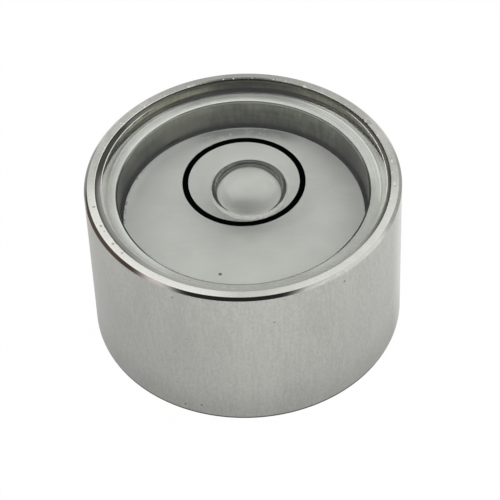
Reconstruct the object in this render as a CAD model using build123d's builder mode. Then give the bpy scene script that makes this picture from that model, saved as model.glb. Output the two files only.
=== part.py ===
from build123d import *
from math import atan2, degrees, radians, sin, sqrt, tan
import os

# Bullseye level: a turned aluminium cup with a bonded glass over spirit and one bubble.
# Millimetres, +Z up. The origin is the centre of the flat base, and the axis of the cup is Z.

# Cup
case_diameter = 32.0
case_height = 18.2
rim_width = 1.1
ledge_width = 2.2
chamber_depth = 5.85
rim_chamfer = 0.3
base_chamfer = 0.15
bore_chamfer = 0.05
chamber_chamfer = 0.2

# Glass: sits a little below the rim and a little off centre, and beds on the ledge with a flat land
glass_shift_x = 0.12
glass_shift_y = 0.18
glass_below_rim = 0.25
glass_edge_thickness = 1.8
glass_bevel = 0.1
glass_land = 0.75
underside_radius = 230.0

# Sealant round and under the glass: it fills the gap and creeps up the bore
sealant_gap = 0.35
sealant_bed = 0.1
sealant_creep_width = 0.1
sealant_creep_height = 0.05

# Black target ring, a paint-filled groove in the top of the glass
target_diameter = 11.82
target_width = 0.6
target_depth = 0.08

# Pale disc on the chamber floor
disc_gap = 0.35
disc_thickness = 0.4

# Bubble: flattened under the glass, widest at the foot of its shoulder
bubble_diameter = 8.0
bubble_depth = 4.7
bubble_shoulder_radius = 1.95
bubble_side_radius = 1.95
bubble_press = 0.015
bubble_shift_x = 0.6
bubble_shift_y = 0.85

# Fill port through the base, shut by a ball and a socket grub screw
port_diameter = 1.8
port_seat_angle = 90.0
port_mouth_chamfer = 0.3
channel_width = 1.6
channel_depth = 0.5
channel_end_gap = 0.1
ball_diameter = 3.0
ball_clearance = 0.02
screw_diameter = 4.0
screw_clearance = 0.02
screw_length = 3.0
screw_recess = 0.4
screw_chamfer = 0.35
socket_across_flats = 2.0
socket_depth = 1.5

# Radii that follow from the sizes above, from the outside in
case_radius = case_diameter / 2
seat_radius = case_radius - rim_width
glass_radius = seat_radius - sealant_gap
land_radius = glass_radius - glass_land
chamber_radius = seat_radius - ledge_width
disc_radius = chamber_radius - disc_gap
channel_length = 2 * (chamber_radius - channel_end_gap)
bevel_top_radius = glass_radius - glass_bevel

# Levels that follow, from the glass down to the floor
glass_top = case_height - glass_below_rim
bevel_foot = glass_top - glass_bevel
glass_edge = glass_top - glass_edge_thickness
ledge = glass_edge - sealant_bed
floor = ledge - chamber_depth
disc_top = floor + disc_thickness
underside_sag = underside_radius - sqrt(underside_radius**2 - land_radius**2)
underside_top = glass_edge + underside_sag
underside_centre = underside_top - underside_radius
sealant_top = glass_top + sealant_creep_height

# Bubble: round shoulder and side arcs that meet at its widest level, then a flatter arc to the foot
bubble_radius = bubble_diameter / 2
bubble_top = underside_top + bubble_press
bubble_level = bubble_top - bubble_shoulder_radius
bubble_foot = underside_top - bubble_depth
belly_height = bubble_level - bubble_foot
belly_fall = belly_height - bubble_side_radius
shoulder_centre = bubble_radius - bubble_shoulder_radius
side_centre = bubble_radius - bubble_side_radius
belly_radius = (side_centre**2 + belly_height**2 - bubble_side_radius**2) / (2 * belly_fall)
belly_centre = bubble_foot + belly_radius
belly_lean = degrees(atan2(side_centre, belly_centre - bubble_level))
belly_edge = side_centre + bubble_side_radius * sin(radians(belly_lean))

# Stack of the fill port, from the base up: recess, screw, ball, cone, drilled hole
port_radius = port_diameter / 2
ball_radius = ball_diameter / 2
screw_radius = screw_diameter / 2
screw_bore_radius = screw_radius + screw_clearance
seat_half_angle = radians(port_seat_angle / 2)
screw_tip = screw_recess + screw_length
ball_centre = screw_tip + ball_clearance + ball_radius
ball_top = ball_centre + ball_radius + ball_clearance
seat_apex = ball_centre + (ball_radius + ball_clearance) / sin(seat_half_angle)
seat_top = seat_apex - port_radius / tan(seat_half_angle)
seat_foot = seat_apex - screw_bore_radius / tan(seat_half_angle)

# The glass, its target ring and the spirit under it are turned about the axis of the glass
glass_axis = Axis((glass_shift_x, glass_shift_y, 0), (0, 0, 1))
glass_plane = Plane((glass_shift_x, glass_shift_y, 0), x_dir=(1, 0, 0), z_dir=(0, -1, 0))
glass_centre = (glass_shift_x, glass_shift_y)

os.makedirs("parts", exist_ok=True)


# Housing: one turned section, then the channel under the disc and the fill port
with BuildPart() as housing:
    with BuildSketch(Plane.XZ):
        with BuildLine():
            Polyline(
                (0, 0),
                (case_radius, 0),
                (case_radius, case_height),
                (seat_radius, case_height),
                (seat_radius, ledge),
                (chamber_radius, ledge),
                (chamber_radius, floor),
                (0, floor),
                close=True,
            )
        make_face()
    revolve(axis=Axis.Z)
    rings = housing.edges().filter_by(GeomType.CIRCLE).group_by(SortBy.RADIUS)
    base_edge, rim_edge = rings[-1].sort_by(Axis.Z)
    bore_edge = rings[-2].sort_by(Axis.Z)[-1]
    chamber_edge = rings[0].sort_by(Axis.Z)[-1]
    chamfer(rim_edge, rim_chamfer)
    chamfer(base_edge, base_chamfer)
    chamfer(bore_edge, bore_chamfer)
    chamfer(chamber_edge, chamber_chamfer)
    with BuildSketch(Plane.XY.offset(floor)):
        SlotOverall(channel_length, channel_width)
    extrude(amount=-channel_depth, mode=Mode.SUBTRACT)
    with BuildSketch(Plane.XZ):
        with BuildLine():
            Polyline(
                (0, floor),
                (port_radius, floor),
                (port_radius, seat_top),
                (screw_bore_radius, seat_foot),
                (screw_bore_radius, port_mouth_chamfer),
                (screw_bore_radius + port_mouth_chamfer, 0),
                (0, 0),
                close=True,
            )
        make_face()
    revolve(axis=Axis.Z, mode=Mode.SUBTRACT)
housing.part.label = "housing"
export_step(housing.part, "parts/housing.step")


# Lens: flat top with a bevelled edge, flat bonding land and a hollow-ground underside
with BuildPart() as lens:
    with BuildSketch(glass_plane):
        with BuildLine():
            Polyline(
                (glass_radius, glass_edge),
                (glass_radius, bevel_foot),
                (bevel_top_radius, glass_top),
                (0, glass_top),
                (0, glass_edge),
                close=True,
            )
        make_face()
    revolve(axis=glass_axis)
    with Locations((glass_shift_x, glass_shift_y, underside_centre)):
        Sphere(underside_radius, rotation=(90, 0, 0), mode=Mode.SUBTRACT)
    with BuildSketch(Plane.XY.offset(glass_top)):
        with Locations(glass_centre):
            Circle((target_diameter + target_width) / 2)
            Circle((target_diameter - target_width) / 2, mode=Mode.SUBTRACT)
    extrude(amount=-target_depth, mode=Mode.SUBTRACT)
lens.part.label = "lens"
export_step(lens.part, "parts/lens.step")


# Target ring: black paint that fills the groove level with the glass
with BuildPart() as target_ring:
    with BuildSketch(Plane.XY.offset(glass_top - target_depth)):
        with Locations(glass_centre):
            Circle((target_diameter + target_width) / 2)
            Circle((target_diameter - target_width) / 2, mode=Mode.SUBTRACT)
    extrude(amount=target_depth)
target_ring.part.label = "target_ring"
export_step(target_ring.part, "parts/target_ring.step")


# Sealant: fills the seat round the glass and beds its land, with the glass and the spirit cut out of it
with BuildPart() as seal_ring:
    with BuildSketch(Plane.XZ):
        with BuildLine():
            Polyline(
                (0, ledge),
                (seat_radius, ledge),
                (seat_radius, sealant_top),
                (seat_radius - sealant_creep_width, glass_top),
                (0, glass_top),
                close=True,
            )
        make_face()
    revolve(axis=Axis.Z)
    with BuildSketch(glass_plane):
        with BuildLine():
            Polyline(
                (0, ledge),
                (land_radius, ledge),
                (land_radius, glass_edge),
                (glass_radius, glass_edge),
                (glass_radius, bevel_foot),
                (bevel_top_radius, glass_top),
                (0, glass_top),
                close=True,
            )
        make_face()
    revolve(axis=glass_axis, mode=Mode.SUBTRACT)
seal_ring.part.label = "seal_ring"
export_step(seal_ring.part, "parts/seal_ring.step")


# Reflector disc: lies on the floor, with a hairline gap to the wall
with BuildPart() as reflector_disc:
    with BuildSketch(Plane.XY.offset(floor)):
        Circle(disc_radius)
    extrude(amount=disc_thickness)
reflector_disc.part.label = "reflector_disc"
export_step(reflector_disc.part, "parts/reflector_disc.step")


# Bubble: the form of the gas, pressed flat on top, with a round side and a shallower round belly
with BuildPart() as bubble:
    with BuildSketch(Plane.XZ):
        with BuildLine():
            Polyline((0, bubble_foot), (0, bubble_top), (shoulder_centre, bubble_top))
            CenterArc((shoulder_centre, bubble_level), bubble_shoulder_radius, 0, 90)
            side_turn = 90 - belly_lean
            side = CenterArc((side_centre, bubble_level), bubble_side_radius, -side_turn, side_turn)
            Polyline(side @ 0, (belly_edge, bubble_foot), (0, bubble_foot))
        make_face()
    revolve(axis=Axis.Z)
    with Locations((0, 0, belly_centre)):
        Sphere(belly_radius, rotation=(90, 0, 0), mode=Mode.INTERSECT)


# Spirit: fills the chamber, the gap round the disc, the channel and the port down to the ball
with BuildPart() as spirit_fill:
    with BuildSketch(Plane.XZ):
        with BuildLine():
            Polyline(
                (0, ledge),
                (0, disc_top),
                (disc_radius, disc_top),
                (disc_radius, floor),
                (chamber_radius, floor),
                (chamber_radius, ledge - chamber_chamfer),
                (chamber_radius + chamber_chamfer, ledge),
                close=True,
            )
        make_face()
    revolve(axis=Axis.Z)
    with BuildSketch(Plane.XY.offset(ledge)):
        with Locations(glass_centre):
            Circle(land_radius)
    extrude(amount=underside_top - ledge)
    with Locations((glass_shift_x, glass_shift_y, underside_centre)):
        Sphere(underside_radius, rotation=(90, 0, 0), mode=Mode.INTERSECT)
    with BuildSketch(Plane.XY.offset(floor)):
        SlotOverall(channel_length, channel_width)
    extrude(amount=-channel_depth)
    with BuildSketch(Plane.XY.offset(floor)):
        Circle(port_radius)
    extrude(amount=ball_top - floor)
    with Locations((bubble_shift_x, bubble_shift_y, 0)):
        add(bubble.part, mode=Mode.SUBTRACT)
spirit_fill.part.label = "spirit_fill"
export_step(spirit_fill.part, "parts/spirit_fill.step")


# Fill ball: seats in the cone of the port
with BuildPart() as fill_ball:
    with Locations((0, 0, ball_centre)):
        Sphere(ball_radius)
fill_ball.part.label = "fill_ball"
export_step(fill_ball.part, "parts/fill_ball.step")


# Fill screw: socket grub screw, its flat point against the ball
with BuildPart() as fill_screw:
    with BuildSketch(Plane.XY.offset(screw_tip)):
        Circle(screw_radius)
    extrude(amount=-screw_length)
    chamfer(fill_screw.edges().filter_by(GeomType.CIRCLE), screw_chamfer)
    with BuildSketch(Plane.XY.offset(screw_tip - screw_length)):
        RegularPolygon(socket_across_flats / 2, 6, major_radius=False)
    extrude(amount=socket_depth, mode=Mode.SUBTRACT)
fill_screw.part.label = "fill_screw"
export_step(fill_screw.part, "parts/fill_screw.step")
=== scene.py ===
import math

import bpy
import numpy as np
from mathutils import Matrix, Vector


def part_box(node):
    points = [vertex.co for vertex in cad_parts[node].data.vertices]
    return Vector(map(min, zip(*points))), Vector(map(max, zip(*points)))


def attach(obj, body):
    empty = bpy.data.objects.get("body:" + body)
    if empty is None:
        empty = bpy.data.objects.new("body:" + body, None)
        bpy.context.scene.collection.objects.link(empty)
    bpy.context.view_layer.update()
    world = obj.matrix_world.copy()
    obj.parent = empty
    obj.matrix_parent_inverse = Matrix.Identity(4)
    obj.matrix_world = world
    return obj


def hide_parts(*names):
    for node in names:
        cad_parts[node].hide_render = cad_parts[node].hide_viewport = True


# Bullseye level: looks for the turned cup, the bonded glass, the sealant, the target ring, the spirit
# with its bubble and the pale disc. Lengths are in millimetres until a mesh is made. Angles run round
# the axis in degrees, from +X towards +Y.

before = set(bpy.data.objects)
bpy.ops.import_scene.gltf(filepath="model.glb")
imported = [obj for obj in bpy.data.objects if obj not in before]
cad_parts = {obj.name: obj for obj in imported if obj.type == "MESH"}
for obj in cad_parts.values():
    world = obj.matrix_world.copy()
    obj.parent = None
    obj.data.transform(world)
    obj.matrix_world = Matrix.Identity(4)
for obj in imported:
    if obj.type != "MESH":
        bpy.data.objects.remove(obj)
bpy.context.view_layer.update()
MM = 0.001


# Sizes read from the frame


def low_high(node):
    """Lowest and highest corner of a CAD node, in millimetres."""
    low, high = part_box(node)
    return low / MM, high / MM


def points_of(node):
    """The CAD node's points, in millimetres."""
    return np.array([v.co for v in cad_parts[node].data.vertices], float) / MM


def radii_near(node, level, slack=0.02):
    """Distances from the axis of a CAD node's points at one level."""
    p = points_of(node)
    p = p[np.abs(p[:, 2] - level) < slack]
    return np.hypot(p[:, 0], p[:, 1])


case_radius = low_high("housing")[1].x
case_height = low_high("housing")[1].z
seat_radius = low_high("seal_ring")[1].x
ledge = low_high("seal_ring")[0].z
sealant_top = low_high("seal_ring")[1].z
lens_low, lens_high = low_high("lens")
glass_x, glass_y = (lens_low.x + lens_high.x) / 2, (lens_low.y + lens_high.y) / 2
glass_radius = (lens_high.x - lens_low.x) / 2
glass_edge, glass_top = lens_low.z, lens_high.z
land_radius = (low_high("spirit_fill")[1].x - low_high("spirit_fill")[0].x) / 2
underside_top = low_high("spirit_fill")[1].z
disc_radius = low_high("reflector_disc")[1].x
disc_top = low_high("reflector_disc")[1].z
floor = low_high("reflector_disc")[0].z
chamber_radius = radii_near("housing", floor).max()
base_radius = radii_near("housing", 0).max()
rim_radius = radii_near("housing", case_height).max()
lip_radius = radii_near("housing", case_height).min()
port_mouth = radii_near("housing", 0).min()
port_bore = low_high("fill_screw")[1].x + 0.02
ball_top = low_high("fill_ball")[1].z

# Values that the frame's boxes don't give
glass_bevel = 0.1
chamber_chamfer = 0.2
base_chamfer = case_radius - base_radius
rim_chamfer = case_radius - rim_radius
bubble_shoulder = 1.95
bubble_side = 1.95

# Room that the spirit and the sealant leave beside what holds them, and the sealant's thin edge up the bore
skin = 0.02
gap = 0.01
bore_film = 0.03

# How much spirit and glass bend light, and the facets round each turned mesh
SPIRIT_IOR = 1.36
GLASS_IOR = 1.52
CUP_TURNS = 720
GLASS_TURNS = 360
SPIRIT_TURNS = 180

inside = points_of("spirit_fill")
inside = inside[np.hypot(inside[:, 0], inside[:, 1]) < 6]
inside = inside[(inside[:, 2] > disc_top + 0.5) & (inside[:, 2] < ledge)]
bubble_x = (inside[:, 0].max() + inside[:, 0].min()) / 2
bubble_y = (inside[:, 1].max() + inside[:, 1].min()) / 2
bubble_radius = (inside[:, 0].max() - inside[:, 0].min()) / 2
bubble_foot = inside[:, 2].min()


# Shader values as Python expressions


class Sock:
    """A socket in a material. Arithmetic on it adds Math nodes."""

    def __init__(self, finish, socket):
        self.finish = finish
        self.socket = socket

    def math(self, operation, *others):
        sockets = dict(enumerate((self, *others)))
        return self.finish.node("ShaderNodeMath", {"operation": operation}, sockets)

    def __add__(self, other):
        return self.math("ADD", other)

    def __mul__(self, other):
        return self.math("MULTIPLY", other)

    def __sub__(self, other):
        return self.math("SUBTRACT", other)

    def __rsub__(self, other):
        return (self * -1.0).math("ADD", other)

    def __truediv__(self, other):
        return self.math("DIVIDE", other)

    __radd__ = __add__
    __rmul__ = __mul__


class Finish:
    """A node tree in the making. Every node comes from node()."""

    def __init__(self, name, tree=None):
        if tree is None:
            self.material = bpy.data.materials.new(name)
            self.material.use_nodes = True
            tree = self.material.node_tree
        self.tree = tree
        self.tree.nodes.clear()

    def node(self, kind, settings=None, sockets=None, output=0):
        made = self.tree.nodes.new(kind)
        for key, value in (settings or {}).items():
            setattr(made, key, value)
        for key, value in (sockets or {}).items():
            if isinstance(value, Sock):
                self.tree.links.new(value.socket, made.inputs[key])
            else:
                made.inputs[key].default_value = value
        return Sock(self, made.outputs[output]) if made.outputs else None

    def outputs(self, kind, *names):
        """Several named outputs of one new node."""
        made = self.node(kind)
        return [Sock(self, made.socket.node.outputs[name]) for name in names]

    def place(self):
        """The point on the piece, in millimetres."""
        point = self.node("ShaderNodeTexCoord", output="Object")
        return self.node("ShaderNodeVectorMath", {"operation": "SCALE"}, {0: point, "Scale": 1 / MM})

    def join(self, x, y, z):
        return self.node("ShaderNodeCombineXYZ", sockets={0: x, 1: y, 2: z})

    def noise(self, vector, scale, detail=3.0, rough=0.55):
        sockets = {"Vector": vector, "Scale": scale, "Detail": detail, "Roughness": rough}
        return self.node("ShaderNodeTexNoise", {"noise_dimensions": "3D"}, sockets)

    def smooth(self, value, start, end, low=0.0, high=1.0):
        """From low to high while the value goes from start to end, eased at both."""
        sockets = {0: value, 1: start, 2: end, 3: low, 4: high}
        return self.node("ShaderNodeMapRange", {"interpolation_type": "SMOOTHSTEP"}, sockets)

    def blend(self, factor, first, second):
        sockets = {0: factor, 6: first, 7: second}
        return self.node("ShaderNodeMix", {"data_type": "RGBA"}, sockets, output=2)

    def shade(self, colour, factor):
        """The colour times a grey value."""
        return self.node("ShaderNodeVectorMath", {"operation": "SCALE"}, {0: colour, "Scale": factor})

    def bump(self, height, distance, strength=1.0):
        sockets = {"Height": height, "Distance": distance * MM, "Strength": strength}
        return self.node("ShaderNodeBump", sockets=sockets)

    def spots(self, point, marks):
        """1 inside small round marks, each (x, y, z, radius), fading out at their edges."""
        found = 0.0
        for x, y, z, size in marks:
            ends = {0: point, 1: (x, y, z)}
            away = self.node("ShaderNodeVectorMath", {"operation": "DISTANCE"}, ends, "Value")
            found = self.smooth(away, size, size * 0.4) + found
        return found.math("MINIMUM", 1.0)

    def principled(self, sockets):
        return self.node("ShaderNodeBsdfPrincipled", sockets=sockets)

    def polished(self, tint, ior):
        """A clear, polished face."""
        return self.principled({"Base Color": tint, "Roughness": 0.0, "IOR": ior, "Transmission Weight": 1.0})

    def mixed(self, factor, first, second):
        """The first shader where the factor is 0, the second where it is 1."""
        return self.node("ShaderNodeMixShader", sockets={0: factor, 1: first, 2: second})

    def surface(self, shader):
        self.node("ShaderNodeOutputMaterial", sockets={"Surface": shader})
        return self.material

    def bare_metal(self, colour, rough, normal):
        sockets = {"Base Color": colour, "Metallic": 1.0, "Roughness": rough, "Normal": normal}
        return self.surface(self.principled(sockets))


class Turned(Finish):
    """A finish on a turned piece, with its place round the axis."""

    def __init__(self, name):
        super().__init__(name)
        self.point = self.place()
        made = self.node("ShaderNodeSeparateXYZ", sockets={0: self.point})
        self.x, self.y, self.z = [Sock(self, out) for out in made.socket.node.outputs]
        self.radius = (self.x * self.x + self.y * self.y).math("SQRT")

    def radius_about(self, x, y):
        """Distance from an axis through another point of the plan."""
        across, along = self.x - x, self.y - y
        return (across * across + along * along).math("SQRT")

    def facing(self, angle, half, fade=10.0):
        """1 within half degrees of an angle round the axis, fading out over fade degrees."""
        way = math.radians(angle)
        along = (self.x * math.cos(way) + self.y * math.sin(way)) / self.radius
        outer = math.cos(math.radians(min(half + fade, 180.0)))
        return self.smooth(along, outer, math.cos(math.radians(half)))

    def band(self, value, middle, half, fade):
        """1 where the value is within half of the middle, fading out over fade."""
        return self.smooth((value - middle).math("ABSOLUTE"), half + fade, half)

    def rings(self, scale, detail=3.0, rough=0.7, wander=0.02):
        """Fine lines round the axis, that wander a little as they go."""
        drift = self.noise(self.point, 0.15, 1.0) * wander
        return self.noise(self.join(self.radius + drift, self.z + drift, 0.0), scale, detail, rough)

    def on_circle(self, marks, radius, level):
        """Marks given by (angle, size) on one circle, as places."""
        return [
            (radius * math.cos(math.radians(a)), radius * math.sin(math.radians(a)), level, size)
            for a, size in marks
        ]

    def marked(self, colour, tone, strength, marks, radius, level):
        """The colour with round marks in another tone, given by (angle, size) on one circle."""
        found = self.spots(self.point, self.on_circle(marks, radius, level))
        return self.blend(found * strength, colour, tone)


def rgb(r, g, b):
    return (r, g, b, 1.0)


def grey(value):
    return rgb(value, value, value)


def metal(value):
    """A tone of bare aluminium, which leans a little to yellow."""
    return rgb(value, value, value * 0.94)


# Finishes


def side_aluminium():
    """Outside wall: satin drawn aluminium with faint streaks along the axis and a few pits, with painted
    shade low down and towards the left, a painted highlight along the right edge and a painted contact shadow
    along the bottom.
    """
    f = Turned("side_aluminium")
    streak = f.noise(f.join(f.x, f.y, f.z * 0.1), 4.2, 3.0, 0.7)
    broad = f.noise(f.join(f.x, f.y, f.z * 0.3), 0.22, 3.0)
    speckle = f.noise(f.join(f.x, f.y, f.z * 0.6), 4.0, 2.0, 0.6)
    tone = f.smooth(streak * 0.35 + speckle * 0.4 + broad * 0.25, 0.38, 0.62)
    colour = f.blend(tone, metal(0.40), metal(0.48))
    # Painted shade: darker towards the bottom, lighter towards the top.
    colour = f.shade(colour, f.smooth(f.z, -12.0, 28.0, 0.8, 1.2) * f.smooth(f.z, 0.0, 6.0, 0.82, 1.0))
    # Painted highlight along the right edge, and painted shade towards the left.
    edge_sheen = f.smooth(f.x, case_radius - 1.4, case_radius, 1.0, 1.5)
    colour = f.shade(colour, f.smooth(f.x, -15.0, 2.0, 0.84, 1.0) * edge_sheen)
    # Painted contact shadow: a dark line along the bottom of the wall, at the front.
    foot_shade = f.smooth(f.z, base_chamfer + 0.25, base_chamfer + 0.11) * f.facing(268, 44, 20)
    colour = f.blend(foot_shade * 0.9, colour, metal(0.03))
    pits = [(306.5, 16.75, 0.17), (278.9, 14.5, 0.12), (246.9, 11.3, 0.09), (244.9, 1.0, 0.16)]
    pits += [(251.3, 1.55, 0.16), (242.7, 17.0, 0.13), (285.0, 9.2, 0.08), (262.0, 13.4, 0.08)]
    pits += [(232.0, 13.0, 0.08)]
    marks = []
    for angle, level, size in pits:
        marks += f.on_circle([(angle, size)], case_radius, level)
    pitted = f.spots(f.point, marks)
    colour = f.blend(pitted * 0.8, colour, rgb(0.08, 0.075, 0.07))
    normal = f.bump(streak * 0.4 + speckle * 0.6 - pitted, 0.004, 0.5)
    return f.bare_metal(colour, streak * 0.1 + 0.36, normal)


def lip_aluminium():
    """Top face of the cup: rings left by the facing tool, painted highlights at the front, painted shade at
    the back, nicked inside.
    """
    f = Turned("lip_aluminium")
    rings = f.rings(5.0)
    broad = f.noise(f.point, 0.9, 3.0)
    tone = f.smooth(rings * 0.6 + broad * 0.4, 0.3, 0.7)
    colour = f.blend(tone, metal(0.54), metal(0.7))
    # Painted highlights at the front-left and front-right, painted shade at the back and the right-back.
    colour = f.blend(f.facing(222, 24, 30) * 0.95, colour, metal(0.98))
    colour = f.blend(f.facing(315, 20, 30) * 0.75, colour, metal(0.92))
    colour = f.blend(f.facing(90, 14, 28) * 0.58, colour, metal(0.34))
    colour = f.blend(f.facing(45, 6, 12) * 0.3, colour, metal(0.34))
    nicks = [(22, 0.14), (30, 0.14), (62.6, 0.12), (63.2, 0.15), (71, 0.12), (76, 0.1), (84.5, 0.1)]
    nicks += [(92, 0.12), (96, 0.12), (108, 0.1), (110, 0.13), (110.6, 0.12), (131, 0.12), (143, 0.13)]
    nicks += [(144.5, 0.1), (158, 0.12), (160, 0.1), (187, 0.1), (347, 0.18), (1, 0.14)]
    bright = f.spots(f.point, f.on_circle(nicks, lip_radius + 0.08, case_height))
    flecks = f.smooth(f.noise(f.point, 3.4, 3.0, 0.7), 0.57, 0.66) * f.facing(95, 50, 15)
    flecks = flecks * f.smooth(f.radius, case_radius - 0.7, case_radius - 0.92)
    colour = f.blend((bright * 0.8 + flecks * 0.5).math("MINIMUM", 1.0), colour, metal(0.95))
    dents = [(190.3, 0.2), (200.7, 0.22), (211.2, 0.22), (217.2, 0.17), (204, 0.12)]
    dark = f.spots(f.point, f.on_circle(dents, lip_radius + 0.25, case_height))
    colour = f.blend(dark * 0.7, colour, metal(0.3))
    # Painted shade on the inner part of the face at the back, left off the bright nicks.
    shaded = f.facing(90, 6, 12) * f.smooth(f.radius, case_radius - 0.75, case_radius - 0.95)
    colour = f.blend(shaded * (1.0 - bright) * 0.8, colour, metal(0.12))
    # A reddish-brown mark by the bore.
    darker_patch = [(30.0, 0.3), (32.5, 0.22)]
    colour = f.marked(colour, rgb(0.16, 0.07, 0.05), 0.8, darker_patch, seat_radius, case_height)
    scratch = [(29.0, 0.13), (30.0, 0.15), (31.0, 0.13)]
    colour = f.marked(colour, metal(0.2), 0.6, scratch, case_radius - 0.72, case_height)
    knocks = [(6.6, 0.13), (7.4, 0.12), (355.4, 0.14), (354.6, 0.12), (143.6, 0.12)]
    colour = f.marked(colour, metal(0.98), 0.9, knocks, lip_radius + 0.3, case_height)
    edges = [(8.4, 0.12), (353.8, 0.12)]
    colour = f.marked(colour, metal(0.2), 0.6, edges, lip_radius + 0.35, case_height)
    normal = f.bump(rings - dark + bright, 0.004, 0.6)
    return f.bare_metal(colour, broad * 0.15 + 0.2, normal)


def rim_aluminium():
    """Outer chamfer: bright cut, worn matt on one side, with painted dark reflections at the right and the
    left and a painted brown reflection at the front-left.
    """
    f = Turned("rim_aluminium")
    rings = f.rings(6.0)
    patch = f.noise(f.join(f.x, f.y, f.z), 2.2, 4.0, 0.7)
    colour = f.blend(f.smooth(rings, 0.3, 0.7), metal(0.42), metal(0.56))
    worn = f.facing(326, 22, 16) * f.smooth(patch, 0.42, 0.5)
    colour = f.blend(worn, colour, metal(0.54))
    # Painted reflections: dark at the right and the left, brown at the front-left.
    colour = f.blend(f.facing(353, 12, 16) * 0.8, colour, metal(0.2))
    colour = f.blend(f.facing(172, 10, 8) * 0.8, colour, metal(0.12))
    colour = f.blend(f.facing(229, 6, 8) * 0.5, colour, rgb(0.26, 0.2, 0.18))
    normal = f.bump(rings + patch * worn, 0.003, 0.5)
    return f.bare_metal(colour, worn * 0.35 + 0.12, normal)


def seat_aluminium():
    """Ledge under the glass: faced bright, with rings, painted highlight lines, painted shade in places, and
    the bare bore above the sealant in painted shade.
    """
    f = Turned("seat_aluminium")
    rings = f.rings(4.5, 4.0, wander=0.004)
    broad = f.noise(f.point, 0.6, 3.0)
    wide = f.rings(1.5, 2.0, wander=0.01)
    tone = f.smooth(wide * 0.6 + rings * 0.25 + broad * 0.15, 0.38, 0.62)
    colour = f.blend(tone, rgb(0.56, 0.56, 0.54), rgb(0.8, 0.8, 0.78))
    inner = chamber_radius + chamber_chamfer
    # Painted highlight: a pale line along the inner edge of the ledge, strongest on the left.
    cut = f.smooth(f.radius, inner + 0.32, inner + 0.08) * f.facing(140, 66, 20) * 0.45
    cut = cut + f.smooth(f.radius, inner + 0.15, inner + 0.09) * f.facing(150, 74, 14) * 0.5
    colour = f.blend(cut, colour, rgb(0.99, 0.99, 0.97))
    about = f.radius_about(glass_x, glass_y)
    # Painted highlights: thin pale lines by the edge of the glass's land, at the right and, fainter, at the
    # left.
    bright = f.band(about, land_radius - 0.28, 0.24, 0.1) * 0.4
    bright = bright + f.band(about, land_radius - 0.08, 0.04, 0.06) * 0.5
    bright = bright * (f.facing(30, 32, 14) + f.facing(138, 18, 12) * 0.4)
    colour = f.blend(bright, colour, rgb(0.99, 0.99, 0.97))
    # Darker towards the back, inside the land.
    darker_patch = f.facing(88, 14, 26) * f.smooth(f.radius, chamber_radius + 0.25, chamber_radius + 1.0)
    colour = f.blend(darker_patch * 0.6, colour, metal(0.26))
    glued = f.facing(90, 74, 12) * f.smooth(about, land_radius, land_radius + 0.08)
    line = f.smooth(wide, 0.38, 0.62)
    cover = f.blend(line, metal(0.3), metal(0.55))
    # Painted shade: darker at the back.
    cover = f.blend(f.facing(88, 20, 22), cover, f.blend(line, metal(0.06), metal(0.25)))
    colour = f.blend(glued * 0.85, colour, cover)
    # Painted shade: darker at the front and the front-right, and a little at the left.
    inwards = f.smooth(f.radius, chamber_radius + 1.2, chamber_radius + 0.3, 0.3, 1.0)
    front = f.facing(270, 20, 22) + f.facing(336, 18, 16) * inwards
    colour = f.blend(front * 0.75, colour, metal(0.5))
    colour = f.blend(f.facing(170, 10, 14) * 0.3, colour, metal(0.4))
    # Painted shade on the bare bore above the sealant.
    bore = f.smooth(f.radius, seat_radius - 0.03, seat_radius - 0.01)
    colour = f.blend(bore, colour, metal(0.2))
    return f.bare_metal(colour, broad * 0.1 + 0.06, f.bump(rings, 0.002, 0.5))


def chamber_wall():
    """Bored wall under the spirit: dull, with streaks down it, painted light near the top and at the
    left-back, painted shade at the sides and low down, and a painted shadow where it meets the disc.
    """
    f = Turned("chamber_wall")
    streak = f.noise(f.join(f.x, f.y, f.z * 0.12), 2.6, 4.0, 0.65)
    rings = f.rings(2.5)
    cloud = f.noise(f.point, 0.45, 3.0, 0.6)
    tone = f.smooth(streak * 0.5 + rings * 0.2 + cloud * 0.3, 0.34, 0.66)
    colour = f.blend(tone, rgb(0.11, 0.115, 0.095), rgb(0.25, 0.255, 0.215))
    # Painted light: lighter at the left-back and towards the top.
    colour = f.blend(f.facing(120, 8, 14) * 0.5, colour, rgb(0.36, 0.365, 0.31))
    colour = f.shade(colour, f.smooth(f.z, ledge - 2.5, ledge - 0.5, 1.0, 1.3))
    # Painted shade at the left and the right, and lower down on the left.
    ends = f.facing(177, 10, 16) * 0.65 + f.facing(8, 22, 14) * 0.36
    colour = f.shade(colour, 1.0 - ends)
    left = f.facing(150, 12, 14) * f.smooth(f.z, ledge - 1.2, ledge - 3.0)
    colour = f.shade(colour, 1.0 - left * 0.35)
    # Painted shade at the bottom of the wall.
    foot_shade = f.smooth(f.z, floor + 1.6, floor + 0.2, 0.0, 1.0)
    colour = f.blend(foot_shade * 0.65, colour, rgb(0.03, 0.034, 0.027))
    # Painted shadow: near-black where the wall meets the disc at the right and the left.
    shadow_wedge = (f.facing(6, 8, 8) + f.facing(171, 7, 9)) * f.smooth(f.z, disc_top + 1.3, disc_top + 0.6)
    colour = f.blend(shadow_wedge * 0.9, colour, grey(0.004))
    ragged = [(156.0, 0.5), (153.5, 0.35), (124.5, 0.5), (122.0, 0.35), (127.0, 0.3)]
    ragged = f.spots(f.point, f.on_circle(ragged, chamber_radius, disc_top + 0.15))
    colour = f.blend(ragged * f.smooth(streak, 0.35, 0.5) * 0.9, colour, grey(0.01))
    return f.bare_metal(colour, streak * 0.1 + 0.36, f.bump(streak, 0.006, 0.5))


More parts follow.
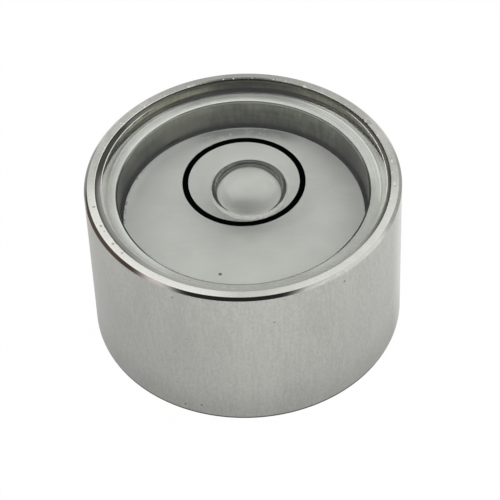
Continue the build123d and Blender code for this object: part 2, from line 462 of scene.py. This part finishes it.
def edge_aluminium():
    """Chamfer where the ledge turns down into the chamber: a painted highlight line under a band of painted
    shade, painted shade at the left and the right, and matt painted highlights at the upper left and the
    right-back.
    """
    f = Turned("edge_aluminium")
    rings = f.rings(6.0)
    # Painted highlight: a matt pale patch at the upper left, fainter at the right-back.
    matt_glint = f.facing(146, 18, 12) * f.smooth(f.z, ledge - 0.1, ledge - 0.03, 0.15, 0.8)
    matt_glint = matt_glint + f.facing(45, 30, 20) * 0.2
    # Painted highlight on the lower part of the chamfer and painted shade above it and at the left and the
    # right.
    colour = f.blend(f.smooth(f.z, ledge - 0.14, ledge - 0.1), metal(0.98), metal(0.35))
    sides = f.facing(190, 26, 10) + f.facing(345, 20, 14)
    colour = f.blend(sides, colour, metal(0.08))
    colour = f.blend(matt_glint, colour, metal(0.85))
    sockets = {"Base Color": colour, "Metallic": 1.0 - matt_glint, "Roughness": 0.4}
    sockets["Normal"] = f.bump(rings, 0.003, 0.5)
    return f.surface(f.principled(sockets))


def base_aluminium():
    """Underside: faced flat, with rings and small scuffs."""
    f = Turned("base_aluminium")
    rings = f.rings(4.0)
    scuff = f.noise(f.point, 1.2, 4.0, 0.7)
    tone = f.smooth(rings * 0.6 + scuff * 0.4, 0.3, 0.7)
    colour = f.blend(tone, metal(0.42), metal(0.54))
    return f.bare_metal(colour, scuff * 0.2 + 0.26, f.bump(rings, 0.006, 0.6))


def clear(name, ior, tint):
    """Clear glass. Shadow and diffuse rays pass straight through it, as soft studio light does."""
    f = Finish(name)
    shadow, diffuse = f.outputs("ShaderNodeLightPath", "Is Shadow Ray", "Is Diffuse Ray")
    straight = shadow.math("MAXIMUM", diffuse)
    open_way = f.node("ShaderNodeBsdfTransparent", sockets={"Color": rgb(0.97, 0.975, 0.97)})
    return f.surface(f.mixed(straight, f.polished(tint, ior), open_way))


def liquid_skin(name, ior):
    """Face between the spirit and the gas: it bends every ray, so the bubble throws its own light."""
    f = Finish(name)
    return f.surface(f.polished(grey(1.0), ior))


def see_through(name, tint):
    """A face that only tints what is seen through it."""
    f = Finish(name)
    return f.surface(f.node("ShaderNodeBsdfTransparent", sockets={"Color": tint}))


def ground_arris():
    """Fine ground arris round the top of the glass: clear, with matt white painted highlights at the right
    and the left.
    """
    f = Turned("ground_arris")
    chips = f.noise(f.point, 3.0, 3.0, 0.7)
    # Painted highlight: the matt white shows only at the right and the left.
    lit = (f.facing(15, 18, 12) + f.facing(154, 16, 14)).math("MINIMUM", 1.0)
    lit = lit * f.smooth(chips, 0.28, 0.42)
    matt = f.node("ShaderNodeBsdfDiffuse", sockets={"Color": metal(0.9)})
    return f.surface(f.mixed(lit, f.polished(grey(0.96), GLASS_IOR), matt))


def olive_sealant():
    """Sealant in the gap: olive, lighter in painted light at the right and in two patches, darker in painted
    shade at the back, with dark specks.
    """
    f = Turned("olive_sealant")
    patch = f.noise(f.join(f.x, f.y, f.z * 0.5), 0.5, 4.0, 0.6)
    fleck = f.noise(f.point, 2.6, 2.0, 0.5)
    streak = f.noise(f.join(f.x, f.y, f.z * 0.1), 3.5, 3.0, 0.6)
    colour = f.blend(f.smooth(patch, 0.35, 0.65), rgb(0.075, 0.08, 0.058), rgb(0.13, 0.135, 0.10))
    # Painted light at the right and in patches at the left-back and right-back; painted shade at the back.
    colour = f.shade(colour, 1.0 + f.facing(22, 20, 16) * 0.9 + f.facing(60, 10, 14) * 0.35)
    glow = f.facing(124, 14, 16) + f.facing(42, 14, 14)
    colour = f.blend(glow * f.smooth(patch, 0.2, 0.6, 0.7, 1.0), colour, rgb(0.37, 0.375, 0.27))
    colour = f.blend(f.facing(86, 8, 12) * 0.5, colour, rgb(0.05, 0.052, 0.038))
    colour = f.shade(colour, f.smooth(streak, 0.3, 0.7, 0.85, 1.15))
    joint = f.smooth(f.z, glass_edge + 0.35, glass_edge + 0.05)
    colour = f.blend(joint * 0.75, colour, rgb(0.03, 0.032, 0.024))
    colour = f.blend(f.smooth(fleck, 0.68, 0.74), colour, rgb(0.012, 0.012, 0.01))
    top = f.smooth(f.z, sealant_top - 0.22, sealant_top - 0.18)
    # On the top of the sealant: painted shade at the back, painted light at the right-back and the left-back.
    dull = f.blend(f.facing(88, 30, 20), rgb(0.075, 0.077, 0.065), rgb(0.13, 0.135, 0.11))
    dull = f.blend(f.facing(38, 28, 20) + f.facing(128, 8, 10), dull, rgb(0.2, 0.2, 0.17))
    colour = f.blend(top, colour, dull)
    # The top of the sealant drawn metal grey at the left and the right, darker outwards, and a lighter metal
    # grey at the front.
    outwards = f.smooth(f.radius, seat_radius - 0.48, seat_radius - 0.05)
    falling = f.blend(outwards, metal(0.33), metal(0.1))
    colour = f.blend(top * (f.facing(202, 22, 12) + f.facing(344, 14, 12)), colour, falling)
    front_grey = top * f.facing(276, 40, 20)
    inner = f.smooth(f.radius, seat_radius - 0.1, seat_radius - 0.5)
    colour = f.blend(front_grey, colour, f.blend(inner, metal(0.36), metal(0.5)))
    specks = [(132.0, 0.42), (133.8, 0.3), (139.5, 0.34), (150.7, 0.3)]
    specks = f.on_circle(specks, glass_radius, glass_top - 0.65)
    specks = [(x + glass_x, y + glass_y, z, size) for x, y, z, size in specks]
    colour = f.blend(f.spots(f.point, specks) * 0.9, colour, rgb(0.012, 0.012, 0.01))
    colour = f.marked(colour, rgb(0.05, 0.02, 0.014), 1.0, [(30.5, 0.3)], seat_radius, glass_top - 0.35)
    sockets = {"Base Color": colour, "Roughness": 0.4, "IOR": 1.1}
    return f.surface(f.principled(sockets))


def disc_finish():
    """Pale satin disc: faint clouds, painted light towards the right and by the left edge, painted shade by
    the back edge, a painted highlight round its edge, dark crumbs on the left, and a little dust.
    """
    f = Turned("pale_disc_satin")
    cloud = f.noise(f.point, 0.28, 3.0, 0.5)
    fine = f.noise(f.point, 10.0, 2.0, 0.6)
    grain = f.noise(f.join(f.x * 0.3, f.y, f.z), 2.2, 3.0, 0.6)
    tone = f.smooth(cloud * 0.7 + grain * 0.3, 0.3, 0.7)
    colour = f.blend(tone, rgb(0.80, 0.795, 0.78), rgb(0.87, 0.865, 0.85))
    # Painted light towards the right; painted shade near the back edge and painted light near the left edge.
    colour = f.shade(colour, f.smooth(f.x, -11.0, 11.0, 0.96, 1.07))
    shaded = f.facing(88, 14, 18) * f.smooth(f.radius, disc_radius - 1.75, disc_radius - 0.75) * 0.42
    lit = f.facing(140, 24, 14) * f.smooth(f.radius, disc_radius - 1.15, disc_radius - 0.35) * 0.2
    colour = f.shade(colour, 1.0 - shaded + lit)
    # Painted highlight: a pale line round the edge.
    edge = f.smooth(f.radius, disc_radius - 0.22, disc_radius - 0.1)
    colour = f.blend(edge * 0.7, colour, grey(0.95))
    crumbs = f.smooth(f.noise(f.point, 2.6, 3.0, 0.7), 0.53, 0.6)
    crumbs = crumbs * f.smooth(f.radius, disc_radius - 0.3, disc_radius - 0.14)
    crumbs = crumbs * f.facing(168, 16, 14)
    colour = f.blend(crumbs * 0.6, colour, grey(0.08))
    dust = [(-1.1, 11.4, disc_top, 0.2), (2.0, 11.35, disc_top, 0.16), (2.6, 11.9, disc_top, 0.14)]
    dust += [(-1.9, 11.0, disc_top, 0.1), (-3.4, 11.2, disc_top, 0.1), (1.2, 11.7, disc_top, 0.1)]
    haze = f.smooth(f.noise(f.point, 1.1, 3.0, 0.6), 0.5, 0.64) * f.facing(90, 22, 12)
    haze = haze * f.smooth(f.radius, disc_radius - 1.75, disc_radius - 0.75)
    colour = f.blend((f.spots(f.point, dust) + haze * 0.4).math("MINIMUM", 1.0) * 0.6, colour, grey(0.95))
    speck = f.spots(f.point, [(-2.65, -8.32, disc_top, 0.24)])
    colour = f.blend(speck * 0.9, colour, grey(0.03))
    sockets = {"Base Color": colour, "Roughness": 0.6, "IOR": 1.1, "Normal": f.bump(fine, 0.002, 0.4)}
    return f.surface(f.principled(sockets))


def black_paint():
    """Matt black paint in the target groove, with the least unevenness of a brushed filling."""
    f = Turned("black_paint")
    fine = f.noise(f.point, 8.0, 3.0, 0.6)
    colour = f.blend(fine, grey(0.0005), grey(0.002))
    sockets = {"Base Color": colour, "Roughness": 0.8, "IOR": 1.02, "Normal": f.bump(fine, 0.003, 0.3)}
    return f.surface(f.principled(sockets))


def steel(name, tone):
    f = Turned(name)
    fine = f.noise(f.point, 4.0, 3.0, 0.6)
    rings = f.rings(8.0)
    colour = f.blend(fine, metal(tone * 0.8), metal(tone))
    return f.bare_metal(colour, fine * 0.2 + 0.22, f.bump(rings, 0.004))


# Turned pieces


def soften(section, radius, steps=3):
    """Rounds the corners of a section. Each entry is (radius, height, slot of the stretch that follows)."""
    out = [section[0]]
    for before, corner, after in zip(section, section[1:], section[2:]):
        p = np.array(corner[:2], float)
        a = np.array(before[:2], float) - p
        b = np.array(after[:2], float) - p
        la, lb = np.linalg.norm(a), np.linalg.norm(b)
        a, b = a / la, b / lb
        half = math.acos(max(-1.0, min(1.0, float(a @ b)))) / 2
        run = min(radius / math.tan(half), la * 0.45, lb * 0.45)
        bend = run * math.tan(half)
        if half > math.radians(88):
            out.append(corner)
            continue
        centre = p + (a + b) / np.linalg.norm(a + b) * bend / math.sin(half)
        start, end = p + a * run - centre, p + b * run - centre
        sweep = math.pi - 2 * half
        for i in range(steps + 1):
            t = i / steps
            w0, w1 = math.sin((1 - t) * sweep), math.sin(t * sweep)
            q = centre + (start * w0 + end * w1) / math.sin(sweep)
            out.append((q[0], q[1], corner[2] if i == steps else before[2]))
    out.append(section[-1])
    return out


def lathe(name, section, finishes, turns=GLASS_TURNS, centre=(0.0, 0.0), shape=None, flip=False):
    """A closed turned mesh. The section starts and ends on the axis or closes on itself."""
    closed_round = section[0][0] > 1e-6
    rows = [(r, z) for r, z, _ in section]
    slots = [s for _, _, s in section]
    angles = np.arange(turns) * 2 * math.pi / turns
    verts, index = [], []
    for r, z in rows:
        if r < 1e-6:
            index.append([len(verts)] * turns)
            verts.append((0.0, 0.0, z))
        else:
            index.append(list(range(len(verts), len(verts) + turns)))
            verts += [(r * math.cos(a), r * math.sin(a), z) for a in angles]
    count = len(rows) if closed_round else len(rows) - 1
    faces, face_slots = [], []
    for i in range(count):
        lower, upper = index[i], index[(i + 1) % len(rows)]
        for j in range(turns):
            k = (j + 1) % turns
            face = list(dict.fromkeys((lower[j], lower[k], upper[k], upper[j])))
            faces.append(face[::-1] if flip else face)
            face_slots.append(slots[i])
    verts = np.array(verts, float)
    if shape is not None:
        verts = shape(verts)
    verts[:, 0] += centre[0]
    verts[:, 1] += centre[1]
    mesh = bpy.data.meshes.new(name)
    mesh.from_pydata((verts * MM).tolist(), [], faces)
    for finish in finishes:
        mesh.materials.append(finish)
    mesh.polygons.foreach_set("material_index", face_slots)
    mesh.polygons.foreach_set("use_smooth", [True] * len(faces))
    piece = bpy.data.objects.new(name, mesh)
    bpy.context.scene.collection.objects.link(piece)
    even = piece.modifiers.new("even_shading", "WEIGHTED_NORMAL")
    even.weight = 100
    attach(piece, "root")
    return piece


# Cup

SIDE, LIP, RIM, SEAT, EDGE, WALL, BASE = range(7)
cup_section = [
    (0.0, ball_top + 0.1, BASE),
    (port_bore, ball_top + 0.1, BASE),
    (port_bore, port_mouth - port_bore, BASE),
    (port_mouth, 0.0, BASE),
    (base_radius, 0.0, RIM),
    (case_radius, base_chamfer, SIDE),
    (case_radius, case_height - rim_chamfer, RIM),
    (rim_radius, case_height, LIP),
    (lip_radius, case_height, LIP),
    (seat_radius, case_height - (lip_radius - seat_radius), SEAT),
    (seat_radius, ledge, SEAT),
    (chamber_radius + chamber_chamfer, ledge, EDGE),
    (chamber_radius, ledge - chamber_chamfer, WALL),
    (chamber_radius, floor, WALL),
    (0.0, floor, WALL),
]


def nick_lip(points):
    """Small knocks in the inner corner of the lip, as the real one has from handling."""
    radius = np.hypot(points[:, 0], points[:, 1])
    angle = np.degrees(np.arctan2(points[:, 1], points[:, 0])) % 360
    knocks = [(22, 0.03, 1.0), (30, 0.05, 1.4), (63, 0.03, 1.2), (92, 0.02, 0.8), (109, 0.03, 1.6)]
    knocks += [(131, 0.02, 1.0), (143.5, 0.04, 1.3), (159, 0.03, 1.2), (190, 0.04, 0.9), (201, 0.05, 0.9)]
    knocks += [(211, 0.05, 0.9), (217, 0.03, 0.7), (347, 0.05, 1.2), (1, 0.03, 1.0)]
    near = (points[:, 2] > case_height - 0.16) & (radius < seat_radius + 0.5)
    for place, depth, width in knocks:
        away = (angle - place + 180) % 360 - 180
        drop = depth * np.exp(-((away / width) ** 2)) * np.exp(-(((radius - seat_radius) / 0.22) ** 2))
        points[:, 2] -= np.where(near, drop, 0.0)
    return points


cup = lathe(
    "cup",
    soften(cup_section, 0.04),
    [
        side_aluminium(),
        lip_aluminium(),
        rim_aluminium(),
        seat_aluminium(),
        edge_aluminium(),
        chamber_wall(),
        base_aluminium(),
    ],
    turns=CUP_TURNS,
    shape=nick_lip,
)
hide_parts("housing")

# Glass

AIR, SPIRIT, BOND, ARRIS = range(4)
arris_width = 0.09
sag = underside_top - glass_edge
curve = (land_radius**2 + sag**2) / (2 * sag)
hollow_steps = 12
ring_radii = [land_radius * i / hollow_steps for i in range(hollow_steps)]
underside = [(r, underside_top - curve + math.sqrt(curve**2 - r**2), SPIRIT) for r in ring_radii]
glass_section = underside + [
    (land_radius, glass_edge, BOND),
    (glass_radius, glass_edge, BOND),
    (glass_radius, glass_top - glass_bevel, BOND),
    (glass_radius - glass_bevel, glass_top, ARRIS),
    (glass_radius - glass_bevel - arris_width, glass_top, AIR),
    (0.0, glass_top, AIR),
]
window = lathe(
    "window",
    glass_section,
    [
        clear("window_glass", GLASS_IOR, rgb(0.985, 0.995, 0.985)),
        clear("window_underside", GLASS_IOR / SPIRIT_IOR, grey(1.0)),
        see_through("window_bond", grey(1.0)),
        ground_arris(),
    ],
    centre=(glass_x, glass_y),
)
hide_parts("lens")

# Sealant: a clear bed under the glass, olive in the gap, with a hollow meniscus up to the bore
OLIVE, CLEAR = range(2)


def turned_with_glass(points):
    """Moves what is turned about the axis of the glass there, and leaves what follows the cup."""
    radius = np.hypot(points[:, 0], points[:, 1])
    film = seat_radius - bore_film
    share = np.clip((film - radius) / (film - glass_radius - gap), 0, 1)
    share[(points[:, 2] < ledge + 3 * skin) & (radius < chamber_radius + chamber_chamfer + skin)] = 0
    points[:, 0] += share * glass_x
    points[:, 1] += share * glass_y
    return points


seal_section = [
    (glass_radius - glass_bevel, glass_top, OLIVE),
    (glass_radius + gap, glass_top - glass_bevel, OLIVE),
    (glass_radius + gap, glass_edge - gap, CLEAR),
    (land_radius + gap, glass_edge - gap, CLEAR),
    (land_radius + gap, ledge + gap, CLEAR),
    (seat_radius - gap, ledge + gap, OLIVE),
    (seat_radius - gap, sealant_top, OLIVE),
    (seat_radius - bore_film, sealant_top - 0.05, OLIVE),
    (seat_radius - 0.10, sealant_top - 0.12, OLIVE),
    (seat_radius - 0.20, sealant_top - 0.14, OLIVE),
    (glass_radius, glass_top - 0.03, OLIVE),
]
seal = lathe(
    "seal",
    seal_section,
    [olive_sealant(), see_through("seal_clear", rgb(0.975, 0.98, 0.965))],
    shape=turned_with_glass,
)
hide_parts("seal_ring")

# Spirit and bubble
spirit_section = [(r, z - skin, 0) for r, z, _ in underside[:-1]]
spirit_section += [
    (land_radius - 3 * skin, glass_edge - skin, 0),
    (land_radius - 3 * skin, ledge + skin, 0),
    (chamber_radius + chamber_chamfer - skin, ledge + skin, 0),
    (chamber_radius - skin, ledge - chamber_chamfer, 0),
    (chamber_radius - skin, floor + skin, 0),
    (disc_radius + skin, floor + skin, 0),
    (disc_radius + skin, disc_top + skin, 0),
    (0.0, disc_top + skin, 0),
]
spirit = lathe(
    "spirit",
    spirit_section[::-1],
    [see_through("spirit_clear", rgb(0.99, 0.995, 0.985))],
    turns=SPIRIT_TURNS,
    shape=turned_with_glass,
)
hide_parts("spirit_fill")


def bubble_outline():
    """Half outline of the bubble: shallow belly, round side, round shoulder and flat top."""
    top = underside_top - 2 * skin
    level = top - bubble_shoulder
    height = level - bubble_foot
    side = bubble_radius - bubble_side
    belly_steps, bend_steps = 16, 24
    belly = (side**2 + height**2 - bubble_side**2) / (2 * (height - bubble_side))
    lean = math.atan2(side, bubble_foot + belly - level)
    outline = []
    for i in range(belly_steps + 1):
        a = lean * i / belly_steps - math.pi / 2
        outline.append((belly * math.cos(a) if i else 0.0, bubble_foot + belly + belly * math.sin(a), 0))
    for i in range(1, bend_steps + 1):
        a = (lean - math.pi / 2) * (1 - i / bend_steps)
        outline.append((side + bubble_side * math.cos(a), level + bubble_side * math.sin(a), 0))
    for i in range(1, bend_steps + 1):
        a = math.pi / 2 * i / bend_steps
        r = bubble_radius - bubble_shoulder
        outline.append((r + bubble_shoulder * math.cos(a), level + bubble_shoulder * math.sin(a), 0))
    outline.append((0.0, top, 0))
    return outline


bubble = lathe(
    "bubble",
    bubble_outline(),
    [liquid_skin("bubble_skin", SPIRIT_IOR)],
    centre=(bubble_x, bubble_y),
    flip=True,
)

# Pale disc, with its cut edge broken a little
disc_section = [
    (0.0, floor + gap, 0),
    (disc_radius, floor + gap, 0),
    (disc_radius, disc_top, 0),
    (0.0, disc_top, 0),
]
disc = lathe("disc", soften(disc_section, 0.06), [disc_finish()])
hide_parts("reflector_disc")

# Target ring
ring_low, ring_high = low_high("target_ring")
ring_x, ring_y = (ring_low.x + ring_high.x) / 2, (ring_low.y + ring_high.y) / 2
ring_outer = (ring_high.x - ring_low.x) / 2
ring_points = points_of("target_ring")
ring_inner = np.hypot(ring_points[:, 0] - ring_x, ring_points[:, 1] - ring_y).min()
proud = 0.004
ring_section = [
    (ring_inner, ring_low.z, 0),
    (ring_outer, ring_low.z, 0),
    (ring_outer, ring_high.z + proud, 0),
    (ring_inner, ring_high.z + proud, 0),
]
ring = lathe("target", ring_section, [black_paint()], centre=(ring_x, ring_y))
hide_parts("target_ring")


def dress(node, finish):
    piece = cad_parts[node]
    piece.data.materials.clear()
    piece.data.materials.append(finish)


dress("fill_ball", steel("ball_steel", 0.6))
dress("fill_screw", steel("screw_steel", 0.45))


# Floor, studio light and camera


def studio_floor():
    """White paper: nearly plain white to the eye, with the object's shadow faintly in it."""
    f = Finish("studio_floor")
    seen = f.outputs("ShaderNodeLightPath", "Is Camera Ray", "Is Glossy Ray", "Is Transmission Ray")
    seen = seen[0].math("MAXIMUM", seen[1]).math("MAXIMUM", seen[2])
    sheet = f.node("ShaderNodeBsdfDiffuse", sockets={"Color": grey(0.9)})
    white = f.node("ShaderNodeEmission", sockets={"Color": grey(1.0), "Strength": 1.0})
    return f.surface(f.mixed(seen * 0.99, sheet, white))


size = 1.5
sunk = -1e-5
mesh = bpy.data.meshes.new("floor")
corners = [(-size, -size, sunk), (size, -size, sunk), (size, size, sunk), (-size, size, sunk)]
mesh.from_pydata(corners, [], [(0, 1, 2, 3)])
mesh.materials.append(studio_floor())
ground = bpy.data.objects.new("floor", mesh)
bpy.context.scene.collection.objects.link(ground)


def studio_world():
    """A plain light room: windows high on both sides, dull behind, brown low on the left, dark in front.

    The camera itself sees plain white.
    """
    world = bpy.data.worlds.new("studio")
    world.use_nodes = True
    bpy.context.scene.world = world
    f = Finish("studio", world.node_tree)
    way = f.node("ShaderNodeTexCoord", output="Generated")
    way = f.node("ShaderNodeVectorMath", {"operation": "NORMALIZE"}, {0: way})

    def towards(x, y, z, start, end):
        length = math.sqrt(x * x + y * y + z * z)
        aim = (x / length, y / length, z / length)
        along = f.node("ShaderNodeVectorMath", {"operation": "DOT_PRODUCT"}, {0: way, 1: aim}, "Value")
        return f.smooth(along, start, end)

    seen = f.outputs("ShaderNodeLightPath", "Is Camera Ray")[0]
    colour = f.blend(towards(0.75, 0.3, 0.6, 0.3, 0.9), grey(1.06), grey(1.3))
    colour = f.blend(towards(-0.55, 0.1, 0.83, 0.7, 0.94), colour, grey(1.7))
    colour = f.blend(towards(-0.05, 0.72, 0.69, 0.86, 0.96), colour, grey(0.72))
    colour = f.blend(towards(-0.90, 0.25, 0.30, 0.78, 0.90), colour, rgb(0.15, 0.115, 0.1))
    colour = f.blend(towards(-0.12, -0.69, 0.715, 0.75, 0.90), colour, grey(0.03))
    colour = f.blend(seen, colour, grey(1.0))
    light = f.node("ShaderNodeBackground", sockets={"Color": colour, "Strength": 1.0})
    f.node("ShaderNodeOutputWorld", sockets={"Surface": light})


studio_world()


def photo_camera():
    """The camera of the photograph, from a fit of the cup's outline in its 500 x 500 frame."""
    focal_px = 2501.86
    shift_x, shift_y, distance = -0.012173, -0.337834, 16.5459
    rise, roll = math.radians(47.1605), math.radians(-2.48801)
    ahead = Vector((0, math.cos(rise), -math.sin(rise)))
    right = Vector((1, 0, 0))
    up = right.cross(ahead)
    across = right * math.cos(roll) + up * math.sin(roll)
    upward = up * math.cos(roll) - right * math.sin(roll)
    camera = bpy.data.cameras.new("camera")
    camera.sensor_width = 36.0
    camera.lens = focal_px / 500 * camera.sensor_width
    camera.clip_start = 0.01
    holder = bpy.data.objects.new("camera", camera)
    eye = -(across * shift_x + upward * shift_y + ahead * distance) * case_radius * MM
    turn = Matrix((across, upward, -ahead)).transposed().to_4x4()
    holder.matrix_world = Matrix.Translation(eye) @ turn
    bpy.context.scene.collection.objects.link(holder)
    bpy.context.scene.camera = holder


photo_camera()
bpy.context.scene.view_settings.view_transform = "Standard"
